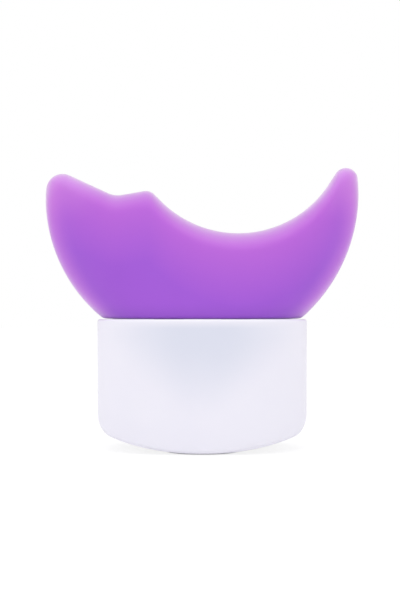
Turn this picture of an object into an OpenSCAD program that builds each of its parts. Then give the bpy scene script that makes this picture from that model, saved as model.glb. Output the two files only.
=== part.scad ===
// Palm-sized contour massage scraper: a soft crescent head that plugs into a white oval base.
// Millimetres, +Z up. The origin is the middle of the standing face, and the front looks along -Y.

/* [Base] */
// Width of the base across the front
base_w = 62.5; // [56:0.5:72]
// Depth of the base, front to back
base_d = 38; // [34:0.5:46]
// Height of the seam under the head, above the standing face
base_h = 38.4; // [36:0.2:50]
// Radius of the underside, which is bowed from side to side
bow_r = 88; // [70:1:120]
// Radius of the lower corners at the two ends of the bow
corner_r = 4.2; // [2:0.1:5]
// Rounding of the lower edge
edge_round = 1.2; // [0.6:0.1:2]
// Draft of the wall, on each side
wall_draft = 0.15; // [0:0.05:0.5]
// Squareness of every oval: 2 is an ellipse, more is squarer
oval_power = 2.5; // [2:0.1:4]
// Thickness of the cup's wall
cup_wall = 2.6; // [2.2:0.1:3.4]
// Thickness of the cup's floor
cup_floor = 3.2; // [2.6:0.1:4]
// Width of the rim that shows around the head's foot
rim_lip = 1.9; // [1.2:0.1:2.1]
// Rounding of the rim's outer edge
rim_round = 0.8; // [0.4:0.1:1]

/* [Standing pad] */
// Width of the standing pad
pad_w = 24; // [18:0.5:26]
// How far the pad stays behind the rounded edge, at the front and back
pad_in = 1.2; // [0.8:0.1:6]
// Thickness of the standing pad
pad_t = 1.7; // [1.5:0.1:2]
// How far the pad stands below the cup
pad_proud = 0.3; // [0.2:0.1:0.6]

/* [Head outline] */
// Overall width across the two horns
head_w = 94; // [86:0.2:104]
// Height above the seam at which the left side is widest
left_wide_z = 36.5; // [33:0.1:37]
// Height above the seam at which the right side is widest
right_wide_z = 38.1; // [34:0.1:39]
// Radius of the blunt left tip
tip_r = 5; // [4:0.1:6]
// Height of the blunt tip's centre above the seam
tip_z = 38.6; // [37.7:0.1:40]
// Radius of the slim right horn
horn_r = 3.6; // [3:0.1:4.5]
// Height of the slim horn's centre above the seam
horn_z = 41.8; // [40:0.1:44]
// Place of the shallow dip, from the middle
dip_x = -25.2; // [-27:0.1:-24]
// Height of the dip's lowest point above the seam
dip_z = 37.1; // [36.5:0.1:37.7]
// Radius of the dip
dip_r = 7; // [5:0.5:9]
// Place of the knuckle between dip and saddle, from the middle
knuckle_x = -16.8; // [-18:0.1:-16]
// Height of the knuckle's highest point above the seam
knuckle_z = 38.4; // [38:0.1:38.9]
// Radius of the knuckle
knuckle_r = 3.5; // [3:0.1:4]
// Place of the saddle's lowest point, from the middle
saddle_x = 10.8; // [10:0.1:12]
// Height of the saddle's lowest point above the seam
saddle_z = 25.7; // [25:0.1:27.5]
// Radius of the saddle
saddle_r = 32.5; // [31:0.1:33]

/* [Head thickness] */
// Thickness of the head at the height of the horn
lip_t = 16; // [12:0.5:20]
// Height over which the upper edge is rounded
lip_round = 6; // [5:0.5:10]
// Rounding of the head's foot
foot_round = 1; // [0.5:0.1:1.5]

/* [Core] */
// Thickness of the stiff plate inside the head
core_t = 5; // [4:0.5:6]
// Thickness of the core's flange
flange_t = 2.5; // [2:0.1:3.5]
// Width of the soft lip around the flange
soft_lip = 3; // [2.5:0.1:4]
// Height of the core's web above the seam
web_h = 16; // [13:0.5:18]
// Diameter of the windows that the soft material flows through
window_d = 6; // [4:0.5:7]

/* [Plug fit] */
// Diameter of the two pegs
peg_d = 9; // [8:0.2:10]
// Length of the pegs below the flange
peg_l = 15; // [12:0.5:17]
// Distance between the two pegs
peg_gap = 20; // [18:0.5:21]
// Radial clearance of a peg in its socket
peg_clear = 0.08; // [0.05:0.01:0.12]
// Thickness of an O-ring in its groove
ring_t = 1.24; // [1:0.02:1.5]
// Thickness of the deck that closes the cup
deck_t = 4; // [3.6:0.1:5]
// Wall of the two sockets under the deck
socket_wall = 2; // [1.6:0.1:2.2]

/* [Fasteners and ballast] */
// Diameter of the screws
screw_d = 3; // [2.5:0.1:3.2]
// Length of the screws under the head
screw_l = 10; // [8:0.5:11]
// Diameter of the screw heads
screw_head_d = 5.6; // [5:0.1:6]
// Thickness of the screw heads
screw_head_t = 2; // [1.6:0.1:2.2]
// Distance between the two deck screws
screw_gap = 43; // [42:0.5:44]
// Diameter of the posts that take the screws
post_d = 7.5; // [7:0.1:8]
// Width of the ballast casting
ballast_w = 32; // [26:0.5:33]
// Depth of the ballast casting
ballast_d = 24; // [18:0.5:25]
// Height of the ballast's upper face above the standing face
ballast_h = 13.5; // [13:0.1:15]

/* [Hidden] */
$fn = 64;

// Clearances
deck_clear = 0.12;    // around the deck in its rebate
pad_clear = 0.1;      // around the pad in its recess
seat_gap = 0.1;       // under the head's foot
mould_gap = 0.05;     // between the soft head and its core
screw_clear = 0.05;   // around a screw in its hole
ballast_clear = 0.5;  // around the cup's post in the ballast
ballast_seat = 0.15;  // between the ballast and the cup's floor
ring_gap = 0.02;      // between an O-ring and its groove
ring_play = 0.4;      // of an O-ring along its groove
sink_clear = 0.3;     // around a screw head in its sink
sink_cover = 0.2;     // over a screw head, up to the deck's face

// Fineness of the faceted forms
oval_points = 72;     // points round an oval
under_steps = 6;      // rings out to the edge of the bowed underside
edge_steps = 4;       // rings round the lower edge
rim_steps = 3;        // rings round the rim
outline_step = 2.2;   // longest step along the head's upper edge
face_levels = 14;     // levels up the face of the head

// Base
floor_z = pad_proud + cup_floor;               // middle of the cup's floor, inside
corner_x = base_w / 2 - wall_draft - corner_r; // where a lower corner starts
deck_z = base_h - deck_t;                      // underside of the deck
pad_d = base_d - 2 * (wall_draft + edge_round + pad_in);

// Head
foot_w = base_w - 2 * rim_lip;
foot_d = base_d - 2 * rim_lip;
seam_z = base_h + seat_gap;
head_h = horn_z + horn_r;
flank_in = (head_w - foot_w) / 2;
parting_land = 0.3;                            // width of the mould's parting land

// Plug fit
socket_r = peg_d / 2 + peg_clear;
ring_out_r = socket_r - peg_clear / 2;
ring_mid_r = ring_out_r - ring_t / 2;
groove_r = ring_out_r - ring_t - ring_gap;
groove_w = ring_t + ring_play;
groove_z = -deck_t;                            // middle of the groove, below the flange
peg_chamfer = 0.8;

// Fasteners
hole_r = screw_d / 2 + screw_clear;
sink_r = screw_head_d / 2 + sink_clear;
sink_depth = screw_head_t + sink_cover;
ballast_post_h = 6;

// An oval ring of points at height z
function oval(w, d, z) = [for (i = [0 : oval_points - 1])
    let (a = 360 * i / oval_points, c = cos(a), s = sin(a), p = 2 / oval_power)
    [w / 2 * sign(c) * pow(abs(c), p), d / 2 * sign(s) * pow(abs(s), p), z]];

function oval_2d(w, d) = [for (p = oval(w, d, 0)) [p[0], p[1]]];

// Height of the bowed underside at a place across the base, and an oval ring h above it
function arc_rise(x, r) = r - sqrt(max(0, pow(r, 2) - pow(x, 2)));
function bow(x) = pad_proud + arc_rise(x, bow_r) + arc_rise(max(0, abs(x) - corner_x), corner_r);
function bowed(w, d, h) = [for (p = oval(w, d, h)) [p[0], p[1], p[2] + bow(p[0])]];

// Rings h above the underside, from a small flat in the middle out to w, d
function bowed_rings(w, d, h) = [for (i = [1 : under_steps]) let (s = i / under_steps)
    i == 1 ? oval(w * s, d * s, pad_proud + h) : bowed(w * s, d * s, h)];

// Rings of the cup's outside, from the middle of the underside to the rim
function cup_outside() = let (w = base_w - 2 * wall_draft, d = base_d - 2 * wall_draft) concat(
    bowed_rings(w - 2 * edge_round, d - 2 * edge_round, 0),
    [for (i = [1 : edge_steps]) let (a = 90 * i / edge_steps, inset = edge_round * (1 - sin(a)))
        bowed(w - 2 * inset, d - 2 * inset, edge_round * (1 - cos(a)))],
    [for (i = [0 : rim_steps]) let (a = 90 * i / rim_steps, inset = rim_round * (1 - cos(a)))
        oval(base_w - 2 * inset, base_d - 2 * inset, base_h - rim_round * (1 - sin(a)))]);

// Rings of the cup's inside, from the rim down over the deck's ledge to the floor
function cup_inside() = let (w = base_w - 2 * cup_wall, d = base_d - 2 * cup_wall,
                             floor_rings = bowed_rings(w, d, cup_floor)) concat(
    [oval(foot_w, foot_d, base_h), oval(foot_w, foot_d, deck_z), oval(w, d, deck_z)],
    [for (i = [under_steps - 1 : -1 : 0]) floor_rings[i]]);

// A closed skin over rings of equal count, with flat ends
module skin(rings) {
    n = len(rings[0]);
    last = len(rings) - 1;
    walls = [for (r = [0 : last - 1], i = [0 : n - 1])
        let (a = r * n + i, b = r * n + (i + 1) % n, c = a + n, d = b + n)
        each [[a, c, b], [b, c, d]]];
    ends = [[for (i = [0 : n - 1]) i], [for (i = [n - 1 : -1 : 0]) last * n + i]];
    polyhedron(points = [for (r = rings) each r], faces = concat(ends, walls), convexity = 6);
}

// Radius of a flank that leaves the foot and stands upright at the widest height
function flank_radius(wide_z) = (pow(flank_in, 2) + pow(wide_z, 2)) / (2 * flank_in);

// An arc of radius r at height z that touches a flank from inside
function inside_flank(flank, side, z, r) =
    [flank[0] + side * sqrt(pow(flank[2] - r, 2) - pow(z - flank[1], 2)), z, r];

// The head's upper edge is a chain of arcs, each [centre x, centre z, radius], joined by tangents.
// A radius is negative where the edge is hollow.
left_flank = [flank_radius(left_wide_z) - head_w / 2, left_wide_z, flank_radius(left_wide_z)];
right_flank = [head_w / 2 - flank_radius(right_wide_z), right_wide_z, flank_radius(right_wide_z)];
upper_arcs = [
    left_flank,
    inside_flank(left_flank, -1, tip_z, tip_r),
    [dip_x, dip_z + dip_r, -dip_r],
    [knuckle_x, knuckle_z - knuckle_r, knuckle_r],
    [saddle_x, saddle_z + saddle_r, -saddle_r],
    inside_flank(right_flank, 1, horn_z, horn_r),
    right_flank];

// Direction of the normal to the tangent that joins two arcs
function tangent_normal(a, b) = let (d = [b[0] - a[0], b[1] - a[1]])
    atan2(d[1], d[0]) + acos(max(-1, min(1, (a[2] - b[2]) / norm(d))));

function arc_points(arc, from, to) =
    let (steps = max(2, ceil(abs(arc[2] * (to - from) * PI / 180) / outline_step)))
    [for (i = [0 : steps]) let (a = from + (to - from) * i / steps)
        [arc[0] + arc[2] * cos(a), arc[1] + arc[2] * sin(a)]];

upper_corners = let (last = len(upper_arcs) - 1) [for (k = [0 : last])
    let (from = k == 0 ? 180 : tangent_normal(upper_arcs[k - 1], upper_arcs[k]),
         to = k == last ? 0 : tangent_normal(upper_arcs[k], upper_arcs[k + 1]))
    each arc_points(upper_arcs[k], from, to)];

// Long straights get stations between their ends, and points that coincide are kept once
upper_edge = [for (i = [1 : len(upper_corners) - 1])
    let (p = upper_corners[i - 1], q = upper_corners[i], run = q[0] - p[0], steps = ceil(run / outline_step))
    if (run > 0.02) each [for (s = [1 : steps]) p + (q - p) * s / steps]];

// Height of the head's lower edge, half its width at a height, and half its thickness at a point
function flank_of(x) = x < 0 ? left_flank : right_flank;
function lower_edge(x) = let (f = flank_of(x)) abs(x) <= foot_w / 2 ? 0
    : f[1] - sqrt(max(0, pow(f[2], 2) - pow(x - f[0], 2)));
function half_width(x, z) = let (f = flank_of(x)) head_w / 2 - f[2] + sqrt(pow(f[2], 2) - pow(z - f[1], 2));
function rounded(share) = sqrt(1 - pow(1 - min(1, max(0, share)), 2));
function half_thickness(x, z, top) = let (
    wedge = (foot_d + (lip_t - foot_d) * z / head_h) / 2,
    side = pow(1 - pow(min(1, abs(x) / half_width(x, z)), oval_power), 1 / oval_power),
    foot = foot_round * (1 - rounded(z / foot_round)))
    parting_land / 2 + max(0, wedge * side * rounded((top - z) / lip_round) - foot);

// One upright slice of the head, from the lower edge up the back, over the top and down the front
function head_slice(p) = let (low = lower_edge(p[0]), rise = p[1] - low,
    face = [for (j = [0 : face_levels - 1])
        let (z = low + rise * (1 - cos(180 * j / face_levels)) / 2) [z, half_thickness(p[0], z, p[1])]])
    concat([for (f = face) [p[0], f[1], seam_z + f[0]]],
           [[p[0], 0, seam_z + p[1]]],
           [for (j = [face_levels - 1 : -1 : 0]) [p[0], -face[j][1], seam_z + face[j][0]]]);

module head_form() {
    skin([for (i = [0 : len(upper_edge) - 2]) head_slice(upper_edge[i])]);
}

// A flat bar with round ends
module bar(from, to, w) {
    run = to - from;
    for (end = [from, to]) translate(end) circle(d = w);
    translate(from) rotate(atan2(run[1], run[0])) translate([0, -w / 2]) square([norm(run), w]);
}

// The stiff plate inside the head, seen from the front, and the windows through it
left_arm = [[-19, 6], [-33, 27]];
right_arm = [[20, 6], [36, 25]];
left_arm_w = 10;
right_arm_w = 8;
web_w = 50;
windows = [[-15, 9], [0, 9], [15, 9], [-26, 16.5], [29, 16.7]];

module core_plate_2d(grow) {
    translate([-web_w / 2 - grow, 0]) square([web_w + 2 * grow, web_h + grow]);
    bar(left_arm[0], left_arm[1], left_arm_w + 2 * grow);
    bar(right_arm[0], right_arm[1], right_arm_w + 2 * grow);
}

module core_in_head(grow) {
    translate([0, core_t / 2 + grow, seam_z]) rotate([90, 0, 0]) linear_extrude(core_t + 2 * grow)
        difference() {
            core_plate_2d(grow);
            for (w = windows) translate(w) circle(d = window_d - 2 * grow);
        }
    translate([0, 0, seam_z]) linear_extrude(flange_t + grow)
        polygon(oval_2d(foot_w - 2 * soft_lip + 2 * grow, foot_d - 2 * soft_lip + 2 * grow));
}

module peg() {
    difference() {
        union() {
            translate([0, 0, -peg_l + peg_chamfer]) cylinder(d = peg_d, h = peg_l - peg_chamfer);
            translate([0, 0, -peg_l]) cylinder(d1 = peg_d - 2 * peg_chamfer, d2 = peg_d, h = peg_chamfer);
        }
        translate([0, 0, groove_z - groove_w / 2]) difference() {
            cylinder(d = peg_d + 1, h = groove_w);
            cylinder(r = groove_r, h = groove_w);
        }
    }
}

// Two places side by side, such as those of the pegs
module both(gap) {
    for (side = [-1, 1]) translate([side * gap / 2, 0, 0]) children();
}

module base_cup() {
    color("whitesmoke") difference() {
        union() {
            skin(concat(cup_outside(), cup_inside()));
            intersection() {
                skin(cup_outside());
                union() {
                    both(screw_gap) cylinder(d = post_d, h = deck_z);
                    cylinder(d = post_d, h = floor_z + ballast_post_h);
                }
            }
        }
        both(screw_gap) translate([0, 0, base_h - sink_depth - screw_l - 1])
            cylinder(r = hole_r, h = screw_l);
        translate([0, 0, ballast_h - screw_l - 0.5]) cylinder(r = hole_r, h = screw_l);
        linear_extrude(pad_t) polygon(oval_2d(pad_w + 2 * pad_clear, pad_d + 2 * pad_clear));
    }
}

module seat_deck() {
    color("white") difference() {
        union() {
            translate([0, 0, deck_z]) linear_extrude(deck_t)
                polygon(oval_2d(foot_w - 2 * deck_clear, foot_d - 2 * deck_clear));
            both(peg_gap) translate([0, 0, base_h - peg_l - 1])
                cylinder(r = socket_r + socket_wall, h = peg_l);
        }
        both(peg_gap) translate([0, 0, base_h - peg_l - 2]) cylinder(r = socket_r, h = peg_l + 3);
        both(screw_gap) {
            translate([0, 0, deck_z - 1]) cylinder(r = hole_r, h = deck_t + 2);
            translate([0, 0, base_h - sink_depth]) cylinder(r = sink_r, h = sink_depth + 1);
        }
    }
}

module ballast() {
    color("dimgray") difference() {
        skin(concat(bowed_rings(ballast_w, ballast_d, cup_floor + ballast_seat),
                    [oval(ballast_w, ballast_d, ballast_h)]));
        cylinder(d = post_d + 2 * ballast_clear, h = floor_z + ballast_post_h + ballast_clear);
        cylinder(r = hole_r, h = ballast_h + 1);
    }
}

module pan_screw() {
    drive_w = screw_d / 4;
    drive_l = screw_head_d * 0.6;
    difference() {
        union() {
            cylinder(d = screw_head_d, h = screw_head_t);
            translate([0, 0, -screw_l]) cylinder(d = screw_d, h = screw_l);
        }
        for (turn = [0, 90]) rotate(turn) translate([-drive_l / 2, -drive_w / 2, screw_head_t / 2])
            cube([drive_l, drive_w, screw_head_t]);
    }
}

module base_screws() {
    color("silver") {
        both(screw_gap) translate([0, 0, base_h - sink_depth]) pan_screw();
        translate([0, 0, ballast_h]) pan_screw();
    }
}

module standing_pad() {
    color("gainsboro") linear_extrude(pad_t) polygon(oval_2d(pad_w, pad_d));
}

module silicone_head() {
    color("mediumorchid") difference() {
        head_form();
        core_in_head(mould_gap);
    }
}

module head_core() {
    color("lightgray") {
        core_in_head(0);
        both(peg_gap) translate([0, 0, seam_z]) peg();
    }
}

module peg_rings() {
    color("slategray") both(peg_gap) translate([0, 0, seam_z + groove_z]) rotate_extrude()
        translate([ring_mid_r, 0]) circle(d = ring_t);
}

base_cup();
seat_deck();
ballast();
base_screws();
standing_pad();
silicone_head();
head_core();
peg_rings();
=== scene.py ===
import math

import bmesh
import bpy
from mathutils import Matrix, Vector


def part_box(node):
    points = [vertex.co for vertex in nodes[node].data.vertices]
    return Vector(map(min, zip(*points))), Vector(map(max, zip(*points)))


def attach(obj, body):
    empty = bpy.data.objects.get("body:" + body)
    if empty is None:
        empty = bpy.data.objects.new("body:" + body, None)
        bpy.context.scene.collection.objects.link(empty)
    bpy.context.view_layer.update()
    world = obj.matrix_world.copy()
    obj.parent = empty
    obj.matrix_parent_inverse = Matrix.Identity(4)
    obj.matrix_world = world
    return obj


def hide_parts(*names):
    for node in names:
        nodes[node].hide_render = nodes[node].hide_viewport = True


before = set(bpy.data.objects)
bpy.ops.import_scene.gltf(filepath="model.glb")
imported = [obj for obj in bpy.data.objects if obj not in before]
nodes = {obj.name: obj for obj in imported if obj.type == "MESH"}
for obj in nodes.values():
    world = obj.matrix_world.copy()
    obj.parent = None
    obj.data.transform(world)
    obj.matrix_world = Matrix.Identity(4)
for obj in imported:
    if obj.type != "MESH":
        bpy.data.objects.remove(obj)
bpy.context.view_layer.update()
scene = bpy.context.scene
mm = 0.001


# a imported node's lowest corner and its size, in millimetres
def placeAndSize(name):
    low, high = (Vector(corner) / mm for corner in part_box(name))
    return low, high - low


headLow, headSize = placeAndSize("silicone_head")
cupLow, cupSize = placeAndSize("base_cup")
padSize = placeAndSize("standing_pad")[1]
rimLip = 1.9            # rim that shows around the head's foot
seamHeight = headLow.z
print("stage: frame loaded,", len(nodes), "nodes")


# node helpers: a value is either a number or another node's socket
def link(tree, value, socket):
    if isinstance(value, bpy.types.NodeSocket):
        tree.links.new(value, socket)
    elif value is not None:
        socket.default_value = value


def calc(tree, operation, a, b=None, c=None):
    node = tree.nodes.new("ShaderNodeMath")
    node.operation = operation
    for value, socket in zip((a, b, c), node.inputs):
        link(tree, value, socket)
    return node.outputs[0]


def square(tree, value):
    return calc(tree, "MULTIPLY", value, value)


def addNode(tree, kind, settings=None, **inputs):
    node = tree.nodes.new(kind)
    for name, value in (settings or {}).items():
        setattr(node, name, value)
    for name, value in inputs.items():
        link(tree, value, node.inputs[name.replace("_", " ")])
    return node


def split(tree, vector):
    return addNode(tree, "ShaderNodeSeparateXYZ", Vector=vector).outputs


def join(tree, x, y, z):
    return addNode(tree, "ShaderNodeCombineXYZ", X=x, Y=y, Z=z).outputs[0]


def rangeMap(tree, value, low, high, toLow, toHigh, curve="SMOOTHSTEP"):
    node = addNode(tree, "ShaderNodeMapRange", {"interpolation_type": curve})
    for item, socket in zip((value, low, high, toLow, toHigh), node.inputs):
        link(tree, item, socket)
    return node.outputs[0]


# the Mix node's sockets for each kind of value: factor, the two inputs and the output
mixSockets = {"RGBA": (0, 6, 7, 2), "VECTOR": (0, 4, 5, 1)}


def mix(tree, kind, factor, a, b):
    node = addNode(tree, "ShaderNodeMix", {"data_type": kind})
    *places, result = mixSockets[kind]
    for value, place in zip((factor, a, b), places):
        link(tree, value, node.inputs[place])
    return node.outputs[result]


def mixColour(tree, factor, a, b):
    return mix(tree, "RGBA", factor, a, b)


# an empty tree with named inputs, and its input and output sockets
def geometryTree(name, inputs):
    tree = bpy.data.node_groups.new(name, "GeometryNodeTree")
    tree.interface.new_socket("Geometry", in_out="INPUT", socket_type="NodeSocketGeometry")
    for label, kind in inputs.items():
        tree.interface.new_socket(label, in_out="INPUT", socket_type="NodeSocket" + kind)
    tree.interface.new_socket("Geometry", in_out="OUTPUT", socket_type="NodeSocketGeometry")
    return tree, tree.nodes.new("NodeGroupInput").outputs, tree.nodes.new("NodeGroupOutput").inputs


# runs a tree on a chain of points and keeps the result as a plain mesh at the origin
def grow(name, points, tree, values, bowShares=()):
    chain = bpy.data.meshes.new(name + "Chain")
    chain.from_pydata(points, [(i, i + 1) for i in range(len(points) - 1)], [])
    if bowShares:
        chain.attributes.new("bowShare", "FLOAT", "POINT").data.foreach_set("value", bowShares)
    piece = bpy.data.objects.new(name, chain)
    scene.collection.objects.link(piece)
    modifier = piece.modifiers.new(tree.name, "NODES")
    modifier.node_group = tree
    for item in tree.interface.items_tree:
        if item.in_out == "INPUT" and item.name in values:
            modifier[item.identifier] = values[item.name]
    graph = bpy.context.evaluated_depsgraph_get()
    mesh = bpy.data.meshes.new_from_object(piece.evaluated_get(graph))
    piece.modifiers.clear()
    piece.data = mesh
    mesh.name = name
    skin = bmesh.new()
    skin.from_mesh(mesh)
    bmesh.ops.recalc_face_normals(skin, faces=skin.faces)
    skin.to_mesh(mesh)
    skin.free()
    return piece


# takes the meshes of smaller mouldings into one piece and drops their objects
def fuse(piece, *extras):
    skin = bmesh.new()
    skin.from_mesh(piece.data)
    for extra in extras:
        skin.from_mesh(extra.data)
        bpy.data.objects.remove(extra)
    skin.to_mesh(piece.data)
    skin.free()


weldGap = 0.004 * mm    # points closer than this become one


# makes instances real, welds, smooths between flat-enough faces and gives the material
def finishMesh(tree, geometry, material, sharpAngle):
    real = addNode(tree, "GeometryNodeRealizeInstances", Geometry=geometry)
    welded = addNode(tree, "GeometryNodeMergeByDistance", Geometry=real.outputs[0], Distance=weldGap)
    smooth = addNode(tree, "GeometryNodeSetShadeSmooth", Geometry=welded.outputs[0])
    angle = tree.nodes.new("GeometryNodeInputMeshEdgeAngle").outputs[0]
    sharp = calc(tree, "GREATER_THAN", angle, sharpAngle)
    edged = addNode(tree, "GeometryNodeSetShadeSmooth", {"domain": "EDGE"},
                    Geometry=smooth.outputs[0], Selection=sharp, Shade_Smooth=False)
    dressed = addNode(tree, "GeometryNodeSetMaterial", Geometry=edged.outputs[0], Material=material)
    return dressed.outputs[0]


# row and column of each point of a grid; the half keeps whole numbers clear of rounding
def gridPlace(tree, columns):
    index = tree.nodes.new("GeometryNodeInputIndex").outputs[0]
    row = calc(tree, "FLOOR", calc(tree, "DIVIDE", calc(tree, "ADD", index, 0.5), columns))
    return row, calc(tree, "SUBTRACT", index, calc(tree, "MULTIPLY", row, columns))


# 1 for the columns from first to last
def inColumns(tree, column, first, last):
    past = calc(tree, "GREATER_THAN", column, first - 0.5)
    return calc(tree, "MULTIPLY", past, calc(tree, "LESS_THAN", column, last + 0.5))


def toMetres(tree, x, y, z):
    return addNode(tree, "ShaderNodeVectorMath", {"operation": "SCALE"},
                   Vector=join(tree, x, y, z), Scale=mm).outputs[0]


# noise of the moulded finishes, and the bands of the blotches that turn into colour and gloss
mouldedNoise = {
    "Grain": {"Detail": 3.0, "Roughness": 0.6}, "Blotch": {"Detail": 2.0, "Roughness": 0.5},
    "colourBand": (0.35, 0.65), "glossBand": (0.3, 0.7),
}


# fine moulded grain and slow blotches, shared by every moulded finish
def mouldedGrainGroup(noise):
    labels = ("Grain", "Blotch")
    group = bpy.data.node_groups.new("mouldedGrain", "ShaderNodeTree")
    for label in labels:
        group.interface.new_socket(label + " Scale", in_out="INPUT", socket_type="NodeSocketFloat")
        group.interface.new_socket(label, in_out="OUTPUT", socket_type="NodeSocketFloat")
    given, result = group.nodes.new("NodeGroupInput").outputs, group.nodes.new("NodeGroupOutput").inputs
    place = group.nodes.new("ShaderNodeTexCoord").outputs["Object"]
    for label in labels:
        scale = given[label + " Scale"]
        spots = addNode(group, "ShaderNodeTexNoise", Vector=place, Scale=scale, **noise[label])
        link(group, spots.outputs[0], result[label])
    return group


mouldedGrain = mouldedGrainGroup(mouldedNoise)


def newMaterial(name, sockets):
    material = bpy.data.materials.new(name)
    material.use_nodes = True
    tree = material.node_tree
    shader = tree.nodes["Principled BSDF"]
    for label, value in sockets.items():
        shader.inputs[label].default_value = value
    return material, tree, shader


# a moulded finish: colour, gloss and relief all vary a little over the surface
def mouldedFinish(look):
    material, tree, shader = newMaterial(look["name"], look.get("sockets", {}))
    grain = addNode(tree, "ShaderNodeGroup", {"node_tree": mouldedGrain},
                    Grain_Scale=look["grainScale"], Blotch_Scale=look["blotchScale"])
    blotch = rangeMap(tree, grain.outputs["Blotch"], *mouldedNoise["colourBand"], 0.0, 1.0)
    colour = mixColour(tree, blotch, look["colour"], look["colourAlt"])
    gloss = rangeMap(tree, grain.outputs["Blotch"], *mouldedNoise["glossBand"], *look["rough"], "LINEAR")
    bump = addNode(tree, "ShaderNodeBump", Strength=look["bump"], Distance=look["bumpDepth"] * mm,
                   Height=grain.outputs["Grain"])
    link(tree, colour, shader.inputs["Base Color"])
    link(tree, gloss, shader.inputs["Roughness"])
    link(tree, bump.outputs[0], shader.inputs["Normal"])
    return material, tree, shader, colour, bump


whiteShellLook = {
    "name": "whiteShell", "colour": (0.875, 0.86, 0.945, 1), "colourAlt": (0.885, 0.87, 0.95, 1),
    # painted shade: a cooler, darker V over the upper middle of the wall, front and back
    "paintedShadeColour": (0.73, 0.75, 0.86, 1), "shadeHeight": (8 * mm, 33 * mm), "shadeHalf": (5 * mm, 32 * mm),
    "shadeTop": (35.6 * mm, 38.2 * mm), "shadeCore": 0.15,
    "grainScale": 2600.0, "blotchScale": 60.0, "rough": (0.42, 0.48), "bump": 0.1, "bumpDepth": 0.02,
    "sockets": {"IOR": 1.5},
}
whiteInnerLook = {
    "name": "whiteInner", "colour": (0.80, 0.80, 0.85, 1), "colourAlt": (0.83, 0.83, 0.87, 1),
    "grainScale": 1800.0, "blotchScale": 90.0, "rough": (0.5, 0.6), "bump": 0.2, "bumpDepth": 0.03,
    "sockets": {"IOR": 1.5},
}
corePlasticLook = {
    "name": "corePlastic", "colour": (0.42, 0.42, 0.46, 1), "colourAlt": (0.47, 0.47, 0.5, 1),
    "grainScale": 1500.0, "blotchScale": 110.0, "rough": (0.48, 0.62), "bump": 0.25, "bumpDepth": 0.03,
}
padRubberLook = {
    "name": "padRubber", "colour": (0.83, 0.83, 0.86, 1), "colourAlt": (0.86, 0.86, 0.88, 1),
    "grainScale": 2200.0, "blotchScale": 130.0, "rough": (0.7, 0.82), "bump": 0.5, "bumpDepth": 0.05,
}
ringRubberLook = {
    "name": "ringRubber", "colour": (0.018, 0.018, 0.02, 1), "colourAlt": (0.03, 0.03, 0.032, 1),
    "grainScale": 3000.0, "blotchScale": 300.0, "rough": (0.38, 0.5), "bump": 0.15, "bumpDepth": 0.02,
}
castWeightLook = {
    "name": "castWeight", "colour": (0.055, 0.055, 0.06, 1), "colourAlt": (0.09, 0.088, 0.088, 1),
    "grainScale": 900.0, "blotchScale": 160.0, "rough": (0.55, 0.75), "bump": 0.6, "bumpDepth": 0.15,
    "sockets": {"Metallic": 0.8},
}
screwSteelLook = {
    "name": "screwSteel", "colour": (0.55, 0.56, 0.58, 1), "colourAlt": (0.64, 0.65, 0.67, 1),
    "grainScale": 4000.0, "blotchScale": 500.0, "rough": (0.24, 0.36), "bump": 0.1, "bumpDepth": 0.02,
    "sockets": {"Metallic": 1.0},
}
purpleSiliconeLook = {
    "name": "purpleSilicone", "colour": (0.346, 0.079, 0.665, 1), "colourAlt": (0.356, 0.083, 0.675, 1),
    # painted light from above: the head is painted paler and pinker towards its upper edge
    "paintedTopLightColour": (0.54, 0.124, 0.706, 1), "paleReach": 22 * mm,
    # painted shade: a darker band under the rounded lip
    "paintedShoulderShadeColour": (0.485, 0.107, 0.655, 1), "shoulderReach": (2.5 * mm, 6.5 * mm),
    # painted light: the upper tips and horn are painted paler
    "paintedTipLightColour": (0.57, 0.175, 0.725, 1), "tipReach": (9 * mm, 20 * mm),
    "tipHeight": ((seamHeight + 28) * mm, (seamHeight + 44) * mm),
    # painted highlight: a pale rim along the upper edge
    "paintedRimHighlightColour": (0.64, 0.43, 0.73, 1), "rimFade": (0.75 * mm, 1.2 * mm),
    "rimEnd": (seamHeight + 37) * mm, "rimLean": 0.1,
    # painted sheen: the flank edges are painted paler
    "paintedFlankSheenColour": (0.62, 0.16, 0.75, 1), "sideReach": 7.5 * mm, "sideShare": 0.6,
    # painted shade: darker towards the foot, just above the seam
    "paintedFootShadeColour": (0.245, 0.060, 0.53, 1), "footShare": 0.5,
    "footHeight": (seamHeight * mm, (seamHeight + 5) * mm),
    "partingHalf": 0.2 * mm, "partingRise": 0.06,
    "grainScale": 2400.0, "blotchScale": 45.0, "rough": (0.44, 0.52), "bump": 0.18, "bumpDepth": 0.03,
    "sockets": {"IOR": 1.41, "Sheen Weight": 0.7, "Sheen Roughness": 0.5, "Sheen Tint": (1, 0.95, 1, 1),
                "Subsurface Weight": 0.12, "Subsurface Scale": 3 * mm,
                "Subsurface Radius": (1.0, 0.4, 1.0)},
}


# painted shade: the white wall is painted cooler and darker in a V over its upper middle, front and back,
# fading out just under the rim
def shellFinishWithPaintedShade(look):
    material, tree, shader, colour, _ = mouldedFinish(look)
    x, _, z = split(tree, tree.nodes.new("ShaderNodeTexCoord").outputs["Object"])
    high = rangeMap(tree, z, *look["shadeHeight"], 0.0, 1.0)
    half = rangeMap(tree, z, *look["shadeHeight"], *look["shadeHalf"], "LINEAR")
    spread = calc(tree, "DIVIDE", calc(tree, "ABSOLUTE", x), half)
    across = rangeMap(tree, spread, look["shadeCore"], 1.0, 1.0, 0.0)
    below = rangeMap(tree, z, *look["shadeTop"], 1.0, 0.0)
    shade = calc(tree, "MULTIPLY", calc(tree, "MULTIPLY", high, below), across)
    link(tree, mixColour(tree, shade, colour, look["paintedShadeColour"]), shader.inputs["Base Color"])
    return material
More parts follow.
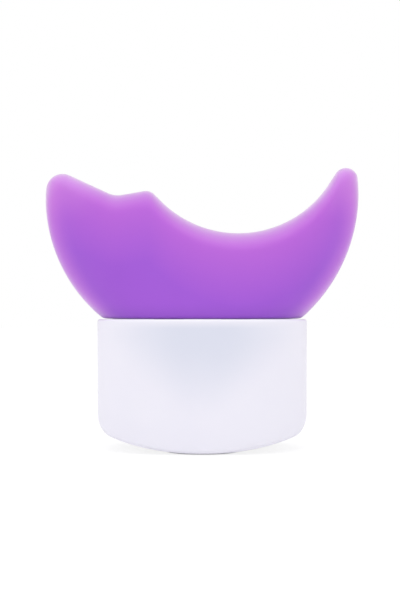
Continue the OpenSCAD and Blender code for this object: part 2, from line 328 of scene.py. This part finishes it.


# the soft head gets painted light (paler, pinker top, tips, flank edges and rim) and painted shade (under
# the lip, at the foot), and the mould's parting line round its edge
def siliconeFinishWithPaintedLight(look):
    material, tree, shader, colour, bump = mouldedFinish(look)
    top, side = (addNode(tree, "ShaderNodeAttribute", {"attribute_name": name}).outputs["Fac"]
                 for name in ("topDepth", "sideDepth"))
    _, y, z = split(tree, tree.nodes.new("ShaderNodeTexCoord").outputs["Object"])
    pale = rangeMap(tree, top, 0.0, look["paleReach"], 1.0, 0.0, "LINEAR")
    shoulder = rangeMap(tree, top, *look["shoulderReach"], 1.0, 0.0)
    tip = calc(tree, "MULTIPLY", rangeMap(tree, z, *look["tipHeight"], 0.0, 1.0),
               rangeMap(tree, side, *look["tipReach"], 1.0, 0.0))
    flank = rangeMap(tree, side, 0.0, look["sideReach"], look["sideShare"], 0.0)
    foot = rangeMap(tree, z, *look["footHeight"], look["footShare"], 0.0)

    # the painted highlight rim follows the upper edge and dies away down the flanks
    fall = calc(tree, "MAXIMUM", 0.0, calc(tree, "SUBTRACT", look["rimEnd"], z))
    brink = calc(tree, "MINIMUM", top, calc(tree, "MULTIPLY_ADD", fall, look["rimLean"], side))
    fade = rangeMap(tree, tip, 0.0, 1.0, *look["rimFade"], "LINEAR")
    rim = calc(tree, "EXPONENT", calc(tree, "MULTIPLY", calc(tree, "DIVIDE", brink, fade), -1.0))

    # painted light and shade go into the base colour: top light, shoulder shade, tip light, flank sheen,
    # highlight rim, foot shade
    colour = mixColour(tree, pale, colour, look["paintedTopLightColour"])
    colour = mixColour(tree, shoulder, colour, look["paintedShoulderShadeColour"])
    colour = mixColour(tree, tip, colour, look["paintedTipLightColour"])
    colour = mixColour(tree, flank, colour, look["paintedFlankSheenColour"])
    colour = mixColour(tree, rim, colour, look["paintedRimHighlightColour"])
    link(tree, mixColour(tree, foot, colour, look["paintedFootShadeColour"]), shader.inputs["Base Color"])
    ridge = rangeMap(tree, calc(tree, "ABSOLUTE", y), 0.0, look["partingHalf"], 1.0, 0.0)
    parting = addNode(tree, "ShaderNodeBump", Strength=1.0, Distance=look["partingRise"] * mm,
                      Height=ridge, Normal=bump.outputs[0])
    link(tree, parting.outputs[0], shader.inputs["Normal"])
    return material


whiteShell = shellFinishWithPaintedShade(whiteShellLook)
whiteInner = mouldedFinish(whiteInnerLook)[0]
corePlastic = mouldedFinish(corePlasticLook)[0]
padRubber = mouldedFinish(padRubberLook)[0]
ringRubber = mouldedFinish(ringRubberLook)[0]
castWeight = mouldedFinish(castWeightLook)[0]
screwSteel = mouldedFinish(screwSteelLook)[0]
purpleSilicone = siliconeFinishWithPaintedLight(purpleSiliconeLook)
print("stage: finishes made")

# millimetres and degrees, heights above the seam; tip and horn are centre height and radius,
# dip, knuckle and saddle are x, height and radius
softHead = {
    "seam": seamHeight, "width": headSize.x, "height": headSize.z,
    "footWidth": cupSize.x - 2 * rimLip, "footDepth": headSize.y,
    "leftWide": 36.5, "rightWide": 38.1, "tip": (38.6, 5.0), "horn": (41.8, 3.6),
    "dip": (-25.2, 37.1, 7.0), "knuckle": (-16.8, 38.4, 3.5), "saddle": (10.8, 25.7, 32.5),
    "lipThickness": 16.0, "lipRound": 6.0, "footRound": 1.0, "cornerRound": 0.8, "ovalPower": 2.5,
    "softLip": 3.0, "flangeHeight": 2.6, "sealDrop": 0.08, "stations": 220, "levels": 34,
    "edgeStep": 0.25, "sameSpot": 0.01, "creaseAngle": 50.0,
}


# a flank's arc stands upright at the widest point and runs down to the corner of the foot
def flankArc(shape, side):
    high = shape["leftWide"] if side < 0 else shape["rightWide"]
    lean = (shape["width"] - shape["footWidth"]) / 2
    radius = (lean ** 2 + high ** 2) / (2 * lean)
    return [side * (shape["width"] / 2 - radius), high, radius]


# a smaller arc that touches the flank's from inside
def arcInside(flank, side, high, radius):
    reach = math.sqrt((flank[2] - radius) ** 2 - (high - flank[1]) ** 2)
    return [flank[0] + side * reach, high, radius]


# points along the upper edge, from the left flank over tip, dip, knuckle, saddle and horn;
# an arc is centre x, centre height and radius, which is negative where the edge is hollow
def upperEdge(shape):
    left, right = flankArc(shape, -1), flankArc(shape, 1)
    dip, knuckle, saddle = shape["dip"], shape["knuckle"], shape["saddle"]
    arcs = [left, arcInside(left, -1, *shape["tip"]),
            [dip[0], dip[1] + dip[2], -dip[2]],
            [knuckle[0], knuckle[1] - knuckle[2], knuckle[2]],
            [saddle[0], saddle[1] + saddle[2], -saddle[2]],
            arcInside(right, 1, *shape["horn"]), right]
    turns = [math.pi]
    for a, b in zip(arcs, arcs[1:]):
        run = (b[0] - a[0], b[1] - a[1])
        lean = max(-1.0, min(1.0, (a[2] - b[2]) / math.hypot(*run)))
        turns.append(math.atan2(run[1], run[0]) + math.acos(lean))
    turns.append(0.0)
    points = []
    for arc, start, end in zip(arcs, turns, turns[1:]):
        count = max(2, math.ceil(abs(arc[2] * (end - start)) / shape["edgeStep"]))
        for i in range(count + 1):
            a = start + (end - start) * i / count
            points.append((arc[0] + arc[2] * math.cos(a), 0.0, arc[1] + arc[2] * math.sin(a)))
    return [p for p, q in zip(points, points[1:]) if math.dist(p, q) > shape["sameSpot"]] + points[-1:]


# a quarter circle: 0 at share 0, rising to 1 at share 1 and beyond
def roundedShare(tree, share):
    left = calc(tree, "SUBTRACT", 1.0, calc(tree, "MINIMUM", 1.0, calc(tree, "MAXIMUM", 0.0, share)))
    return calc(tree, "SQRT", calc(tree, "SUBTRACT", 1.0, square(tree, left)))


# half the chord of a circle at an offset from its centre
def chord(tree, radius, offset):
    gap = calc(tree, "SUBTRACT", square(tree, radius), square(tree, offset))
    return calc(tree, "SQRT", calc(tree, "MAXIMUM", 0.0, gap))


# half depth of an oval at x, for a given half width and depth
def ovalDepth(tree, x, halfWidth, halfDepth, power):
    share = calc(tree, "MINIMUM", 1.0, calc(tree, "DIVIDE", calc(tree, "ABSOLUTE", x), halfWidth))
    left = calc(tree, "MAXIMUM", 0.0, calc(tree, "SUBTRACT", 1.0, calc(tree, "POWER", share, power)))
    return calc(tree, "MULTIPLY", halfDepth, calc(tree, "POWER", left, calc(tree, "DIVIDE", 1.0, power)))


def storeFloat(tree, geometry, name, value):
    return addNode(tree, "GeometryNodeStoreNamedAttribute", {"data_type": "FLOAT", "domain": "POINT"},
                   Geometry=geometry, Name=name, Value=value).outputs[0]


# upright slices hung from the upper edge: a tapering body, oval at every height, with a round lip
def softHeadTree():
    tree, given, result = geometryTree("softHead", {
        "Stations": "Int", "Levels": "Int", "Seam": "Float", "Width": "Float", "Height": "Float",
        "Foot Depth": "Float", "Lip Thickness": "Float", "Lip Round": "Float", "Foot Round": "Float",
        "Corner Round": "Float", "Oval Power": "Float", "Left Flank": "Vector", "Right Flank": "Vector",
        "Flange Width": "Float", "Flange Depth": "Float", "Flange Height": "Float", "Seal Drop": "Float",
        "Sharp Angle": "Float", "Material": "Material"})

    # columns past the skin run under the foot: the pocket, its roof, those at the back, and the last
    # one, which closes the loop
    pocketColumns, roofColumns, backColumns, lastColumn = (1, 4), (2, 3), (3, 5), 5
    levels = given["Levels"]
    skinEnd = calc(tree, "MULTIPLY", levels, 2.0)           # last column of the skin, at the front foot
    columns = calc(tree, "ADD", skinEnd, lastColumn + 1.0)
    grid = addNode(tree, "GeometryNodeMeshGrid", Vertices_X=given["Stations"], Vertices_Y=columns)
    row, column = gridPlace(tree, columns)
    edge = addNode(tree, "GeometryNodeMeshToCurve", Mesh=given["Geometry"])
    along = calc(tree, "DIVIDE", row, calc(tree, "SUBTRACT", given["Stations"], 1.0))
    station = addNode(tree, "GeometryNodeSampleCurve", {"mode": "FACTOR", "use_all_curves": True},
                      Curves=edge.outputs[0], Factor=along)
    x, _, top = split(tree, station.outputs["Position"])
    onRight = calc(tree, "GREATER_THAN", x, 0.0)
    flank = mix(tree, "VECTOR", onRight, given["Left Flank"], given["Right Flank"])
    flankX, flankZ, flankR = split(tree, flank)

    # lower edge: the flank's arc, eased into the flat foot
    arc = calc(tree, "SUBTRACT", flankZ, chord(tree, flankR, calc(tree, "SUBTRACT", x, flankX)))
    ease = calc(tree, "ADD", square(tree, arc), square(tree, given["Corner Round"]))
    low = calc(tree, "MULTIPLY", 0.5, calc(tree, "ADD", arc, calc(tree, "SQRT", ease)))
    rise = calc(tree, "MAXIMUM", 0.0, calc(tree, "SUBTRACT", top, low))

    # up the back, over the top, down the front, then back under the foot
    fold = calc(tree, "ABSOLUTE", calc(tree, "SUBTRACT", calc(tree, "DIVIDE", column, levels), 1.0))
    climb = calc(tree, "MAXIMUM", 0.0, calc(tree, "SUBTRACT", 1.0, fold))
    share = calc(tree, "MULTIPLY", 0.5, calc(tree, "SUBTRACT", 1.0,
                 calc(tree, "COSINE", calc(tree, "MULTIPLY", climb, math.pi))))
    z = calc(tree, "ADD", low, calc(tree, "MULTIPLY", rise, share))

    # half width and half depth at that height, rounded off at the lip and tucked in at the foot
    centreOut = calc(tree, "SUBTRACT", calc(tree, "MULTIPLY", given["Width"], 0.5), flankR)
    halfWidth = calc(tree, "ADD", centreOut, chord(tree, flankR, calc(tree, "SUBTRACT", z, flankZ)))
    taper = calc(tree, "MULTIPLY", calc(tree, "SUBTRACT", given["Lip Thickness"], given["Foot Depth"]),
                 calc(tree, "DIVIDE", z, given["Height"]))
    body = calc(tree, "MULTIPLY", 0.5, calc(tree, "ADD", given["Foot Depth"], taper))
    oval = ovalDepth(tree, x, halfWidth, body, given["Oval Power"])
    depth = calc(tree, "SUBTRACT", top, z)
    lip = roundedShare(tree, calc(tree, "DIVIDE", depth, given["Lip Round"]))
    tuck = calc(tree, "SUBTRACT", 1.0, roundedShare(tree, calc(tree, "DIVIDE", z, given["Foot Round"])))
    half = calc(tree, "MAXIMUM", 0.0, calc(tree, "SUBTRACT", calc(tree, "MULTIPLY", oval, lip),
                calc(tree, "MULTIPLY", tuck, given["Foot Round"])))

    # a pocket under the foot takes the core's flange, and a low bead round it closes the seam
    under = calc(tree, "SUBTRACT", column, skinEnd)
    inPocket = inColumns(tree, under, *pocketColumns)
    lifted = inColumns(tree, under, *roofColumns)
    pocket = ovalDepth(tree, x, calc(tree, "MULTIPLY", given["Flange Width"], 0.5),
                       calc(tree, "MULTIPLY", given["Flange Depth"], 0.5), given["Oval Power"])
    reach = calc(tree, "ADD", half, calc(tree, "MULTIPLY", inPocket,
                 calc(tree, "SUBTRACT", calc(tree, "MINIMUM", pocket, half), half)))
    isBack = calc(tree, "MAXIMUM", calc(tree, "LESS_THAN", column, levels),
                  inColumns(tree, under, *backColumns))
    y = calc(tree, "MULTIPLY", reach, calc(tree, "SUBTRACT", calc(tree, "MULTIPLY", isBack, 2.0), 1.0))
    leastPocket = 0.001                                     # past its ends there is no pocket
    isOpen = calc(tree, "GREATER_THAN", pocket, leastPocket)
    bead = calc(tree, "MULTIPLY", calc(tree, "SUBTRACT", lifted, inPocket), given["Seal Drop"])
    lift = calc(tree, "MULTIPLY_ADD", lifted, given["Flange Height"], bead)
    high = calc(tree, "ADD", given["Seam"], calc(tree, "MULTIPLY_ADD", lift, isOpen, z))

    # how far a point lies below the upper edge and in from the flank, for the finish
    inset = calc(tree, "SUBTRACT", halfWidth, calc(tree, "ABSOLUTE", x))
    mesh = storeFloat(tree, grid.outputs["Mesh"], "topDepth", calc(tree, "MULTIPLY", depth, mm))
    mesh = storeFloat(tree, mesh, "sideDepth", calc(tree, "MULTIPLY", inset, mm))
    placed = addNode(tree, "GeometryNodeSetPosition", Geometry=mesh, Position=toMetres(tree, x, y, high))
    link(tree, finishMesh(tree, placed.outputs[0], given["Material"], given["Sharp Angle"]), result[0])
    return tree


headPiece = grow("softHead", upperEdge(softHead), softHeadTree(), {
    "Stations": softHead["stations"], "Levels": softHead["levels"], "Seam": softHead["seam"],
    "Width": softHead["width"], "Height": softHead["height"], "Foot Depth": softHead["footDepth"],
    "Lip Thickness": softHead["lipThickness"], "Lip Round": softHead["lipRound"],
    "Foot Round": softHead["footRound"], "Corner Round": softHead["cornerRound"],
    "Oval Power": softHead["ovalPower"], "Left Flank": flankArc(softHead, -1),
    "Right Flank": flankArc(softHead, 1), "Flange Width": softHead["footWidth"] - 2 * softHead["softLip"],
    "Flange Depth": softHead["footDepth"] - 2 * softHead["softLip"],
    "Flange Height": softHead["flangeHeight"], "Seal Drop": softHead["sealDrop"],
    "Sharp Angle": math.radians(softHead["creaseAngle"]), "Material": purpleSilicone})
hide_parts("silicone_head")
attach(headPiece, "head")
print("stage: soft head,", len(headPiece.data.polygons), "faces")


# a ring of the shell is one chain point: half width, half depth and height;
# its bowShare says how far it follows the underside, which is bowed from side to side
def ovalShellTree():
    tree, given, result = geometryTree("ovalShell", {
        "Points Around": "Int", "Oval Power": "Float", "Bow Radius": "Float", "Corner Start": "Float",
        "Corner Radius": "Float", "Copies": "Int", "Spacing": "Float", "Sharp Angle": "Float",
        "Material": "Material"})
    around = given["Points Around"]
    size = addNode(tree, "GeometryNodeAttributeDomainSize", {"component": "MESH"},
                   Geometry=given["Geometry"])
    columns = calc(tree, "ADD", around, 1.0)
    grid = addNode(tree, "GeometryNodeMeshGrid", Vertices_X=size.outputs["Point Count"], Vertices_Y=columns)
    row, column = gridPlace(tree, columns)
    position = tree.nodes.new("GeometryNodeInputPosition").outputs[0]
    ring = addNode(tree, "GeometryNodeSampleIndex", {"data_type": "FLOAT_VECTOR", "domain": "POINT"},
                   Geometry=given["Geometry"], Value=position, Index=row)
    halfWidth, halfDepth, high = split(tree, ring.outputs[0])
    follows = addNode(tree, "GeometryNodeInputNamedAttribute", {"data_type": "FLOAT"}, Name="bowShare")
    bowShare = addNode(tree, "GeometryNodeSampleIndex", {"data_type": "FLOAT", "domain": "POINT"},
                       Geometry=given["Geometry"], Value=follows.outputs["Attribute"], Index=row)
    turn = calc(tree, "MULTIPLY", column, calc(tree, "DIVIDE", math.tau, around))
    power = calc(tree, "DIVIDE", 2.0, given["Oval Power"])
    spots = []
    for wave, half in (("COSINE", halfWidth), ("SINE", halfDepth)):
        swing = calc(tree, wave, turn)
        reach = calc(tree, "POWER", calc(tree, "ABSOLUTE", swing), power)
        spots.append(calc(tree, "MULTIPLY", half, calc(tree, "MULTIPLY", reach, calc(tree, "SIGN", swing))))
    x, y = spots
    over = calc(tree, "SUBTRACT", calc(tree, "ABSOLUTE", x), given["Corner Start"])
    over = calc(tree, "MAXIMUM", 0.0, over)
    rises = [calc(tree, "SUBTRACT", radius, chord(tree, radius, offset))
             for radius, offset in ((given["Bow Radius"], x), (given["Corner Radius"], over))]
    z = calc(tree, "MULTIPLY_ADD", bowShare.outputs[0], calc(tree, "ADD", *rises), high)
    placed = addNode(tree, "GeometryNodeSetPosition", Geometry=grid.outputs["Mesh"],
                     Position=toMetres(tree, x, y, z))
    gaps = calc(tree, "SUBTRACT", given["Copies"], 1.0)
    start = calc(tree, "MULTIPLY", calc(tree, "MULTIPLY", gaps, given["Spacing"]), -0.5)
    places = addNode(tree, "GeometryNodeMeshLine", Count=given["Copies"],
                     Start_Location=toMetres(tree, start, 0.0, 0.0),
                     Offset=toMetres(tree, given["Spacing"], 0.0, 0.0))
    copies = addNode(tree, "GeometryNodeInstanceOnPoints", Points=places.outputs[0],
                     Instance=placed.outputs[0])
    link(tree, finishMesh(tree, copies.outputs[0], given["Material"], given["Sharp Angle"]), result[0])
    return tree


ovalShell = ovalShellTree()

baseCup = {
    "width": cupSize.x, "depth": cupSize.y, "height": cupLow.z + cupSize.z, "padProud": cupLow.z,
    "draft": 0.15, "ovalPower": 2.5, "bowRadius": 88.0, "cornerRadius": 4.2, "edgeRound": 1.2,
    "wall": 2.6, "floor": 3.2, "rimRound": 0.8, "deck": 4.0, "padRoom": 0.1,
    "underSteps": 16, "edgeSteps": 8, "rimSteps": 6, "around": 224, "creaseAngle": 40.0,
}


# steps of a quarter circle from a flat face to a wall, as shares of its radius: how far in, how far up
def quarterRound(steps):
    turns = [math.pi / 2 * i / steps for i in range(steps + 1)]
    return [(1 - math.sin(a), 1 - math.cos(a)) for a in turns]


# rings of the cup: pad recess, bowed underside, rounded lower edge, rim, deck ledge and inside
def cupChain(shape):
    w, d, h = shape["width"] / 2, shape["depth"] / 2, shape["height"]
    proud, edge = shape["padProud"], shape["edgeRound"]
    pad = (padSize.x / 2 + shape["padRoom"], padSize.y / 2 + shape["padRoom"])
    lower = (w - shape["draft"], d - shape["draft"])
    rings = [(0, 0, padSize.z, 0), (*pad, padSize.z, 0)]
    for i in range(shape["underSteps"] + 1):
        s = i / shape["underSteps"]
        rings.append((*(p + (q - edge - p) * s for p, q in zip(pad, lower)), proud, 1))
    for inward, up in quarterRound(shape["edgeSteps"])[1:]:
        rings.append((lower[0] - edge * inward, lower[1] - edge * inward, proud + edge * up, 1))
    for down, inward in quarterRound(shape["rimSteps"]):     # the rim turns the other way
        inset = shape["rimRound"] * inward
        rings.append((w - inset, d - inset, h - shape["rimRound"] * down, 0))
    wall, ledge = shape["wall"], h - shape["deck"]
    for inset, high in ((rimLip, h), (rimLip, ledge), (wall, ledge)):
        rings.append((w - inset, d - inset, high, 0))
    for i in range(shape["underSteps"] + 1):
        s = 1 - i / shape["underSteps"]
        rings.append(((w - wall) * s, (d - wall) * s, proud + shape["floor"], 1))
    return rings


screwPosts = {
    "radius": 3.75, "bore": 1.55, "foot": 4.0, "deckTop": baseCup["height"] - baseCup["deck"],
    "deckBoreFloor": 25.2, "deckSpacing": 43.0,
    "ballastTop": 9.5, "ballastBoreFloor": 3.0, "ballastFoot": 2.2, "around": 48,
}


# rings of a screw post with its bore
def postChain(shape, foot, top, boreFloor):
    r, bore = shape["radius"], shape["bore"]
    return [(0, 0, foot, 0), (r, r, foot, 0), (r, r, top, 0), (bore, bore, top, 0),
            (bore, bore, boreFloor, 0), (0, 0, boreFloor, 0)]


def growShell(name, rings, material, around, power=2.0, copies=1, spacing=0.0):
    corner = baseCup["width"] / 2 - baseCup["draft"] - baseCup["cornerRadius"]
    return grow(name, [r[:3] for r in rings], ovalShell, {
        "Points Around": around, "Oval Power": power, "Bow Radius": baseCup["bowRadius"],
        "Corner Start": corner, "Corner Radius": baseCup["cornerRadius"], "Copies": copies,
        "Spacing": spacing, "Sharp Angle": math.radians(baseCup["creaseAngle"]),
        "Material": material}, [float(r[3]) for r in rings])


cupPiece = growShell("baseCup", cupChain(baseCup), whiteShell, baseCup["around"], baseCup["ovalPower"])
fuse(cupPiece,
     growShell("deckPosts", postChain(screwPosts, screwPosts["foot"], screwPosts["deckTop"],
                                      screwPosts["deckBoreFloor"]),
               whiteShell, screwPosts["around"], copies=2, spacing=screwPosts["deckSpacing"]),
     growShell("ballastPost", postChain(screwPosts, screwPosts["ballastFoot"], screwPosts["ballastTop"],
                                        screwPosts["ballastBoreFloor"]),
               whiteShell, screwPosts["around"]))
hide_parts("base_cup")
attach(cupPiece, "base")
print("stage: base cup,", len(cupPiece.data.polygons), "faces")

standingPad = {"width": padSize.x, "depth": padSize.y, "thickness": padSize.z,
               "edgeRound": 0.15, "steps": 4, "around": 128}


def padChain(shape):
    w, d, r = shape["width"] / 2, shape["depth"] / 2, shape["edgeRound"]
    rings = [(0, 0, 0, 0)]
    rings += [(w - r * inward, d - r * inward, r * up, 0) for inward, up in quarterRound(shape["steps"])]
    return rings + [(w, d, shape["thickness"], 0), (0, 0, shape["thickness"], 0)]


padPiece = growShell("standingPad", padChain(standingPad), padRubber, standingPad["around"],
                     baseCup["ovalPower"])
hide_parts("standing_pad")
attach(padPiece, "base")
print("stage: standing pad")

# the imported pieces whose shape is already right
keptFinishes = {"seat_deck": whiteInner, "ballast": castWeight, "base_screws": screwSteel,
                "head_core": corePlastic, "peg_rings": ringRubber}
for name, material in keptFinishes.items():
    nodes[name].data.materials.clear()
    nodes[name].data.materials.append(material)
print("stage: kept pieces finished")

# light levels are shares of plain white; the world is a soft tent, brighter at the sides
studio = {
    "cameraPlace": (-0.00064, -0.320, seamHeight * mm), "cameraTilt": 1.02, "lens": 64.0, "sensor": 36.0,
    "clip": (0.01, 20.0),
    "worldLevel": 0.585, "worldSides": 0.34,
    "floorColour": (0.93, 0.93, 0.94, 1), "floorSeen": (0.2, 0.2, 0.2, 1), "floorLift": 0.84,
    "floorSize": 8.0,
    "floorSockets": {"Roughness": 0.9, "Specular IOR Level": 0.0, "Emission Color": (1, 1, 1, 1)},
    "overhead": {"lean": (12.0, -3.0, 0.0), "level": 0.46, "softness": 75.0},
}


# 1 for the rays that should meet a plain white background
def seenWhite(tree):
    path = tree.nodes.new("ShaderNodeLightPath").outputs
    seen = calc(tree, "MAXIMUM", path["Is Camera Ray"], path["Is Glossy Ray"])
    return calc(tree, "MAXIMUM", seen, path["Is Transmission Ray"])


def addFloor(shape):
    half = shape["floorSize"] / 2
    mesh = bpy.data.meshes.new("floor")
    corners = [(-half, -half, 0), (half, -half, 0), (half, half, 0), (-half, half, 0)]
    mesh.from_pydata(corners, [], [(0, 1, 2, 3)])
    floor = bpy.data.objects.new("floor", mesh)
    scene.collection.objects.link(floor)
    material, tree, shader = newMaterial("paleFloor", shape["floorSockets"])

    # seen directly it is lifted to white, with a soft shadow left; it still bounces pale light up
    white = seenWhite(tree)
    seen = mixColour(tree, white, shape["floorColour"], shape["floorSeen"])
    link(tree, seen, shader.inputs["Base Color"])
    link(tree, calc(tree, "MULTIPLY", white, shape["floorLift"]), shader.inputs["Emission Strength"])
    mesh.materials.append(material)


def addWorld(shape):
    world = bpy.data.worlds.new("studioWorld")
    scene.world = world
    world.use_nodes = True
    tree = world.node_tree
    back = tree.nodes["Background"]
    back.inputs["Color"].default_value = (1, 1, 1, 1)
    x, _, _ = split(tree, tree.nodes.new("ShaderNodeTexCoord").outputs["Generated"])
    sides = calc(tree, "MULTIPLY", square(tree, x), shape["worldSides"])
    tent = calc(tree, "ADD", shape["worldLevel"], sides)
    white = seenWhite(tree)
    link(tree, rangeMap(tree, white, 0.0, 1.0, tent, 1.0, "LINEAR"), back.inputs["Strength"])


def addLamp(shape):
    light = bpy.data.lights.new("overhead", "SUN")
    light.energy = shape["level"] * math.pi
    light.angle = math.radians(shape["softness"])
    lamp = bpy.data.objects.new("overhead", light)
    scene.collection.objects.link(lamp)
    lamp.rotation_euler = [math.radians(a) for a in shape["lean"]]


def addCamera(shape):
    data = bpy.data.cameras.new("photoCamera")
    data.lens, data.sensor_width = shape["lens"], shape["sensor"]
    data.clip_start, data.clip_end = shape["clip"]
    camera = bpy.data.objects.new("photoCamera", data)
    scene.collection.objects.link(camera)
    camera.location = shape["cameraPlace"]
    camera.rotation_euler = (math.radians(90 + shape["cameraTilt"]), 0, 0)
    scene.camera = camera


addFloor(studio)
addWorld(studio)
addLamp(studio["overhead"])
addCamera(studio)
scene.view_settings.view_transform = "Standard"
print("stage: studio ready")
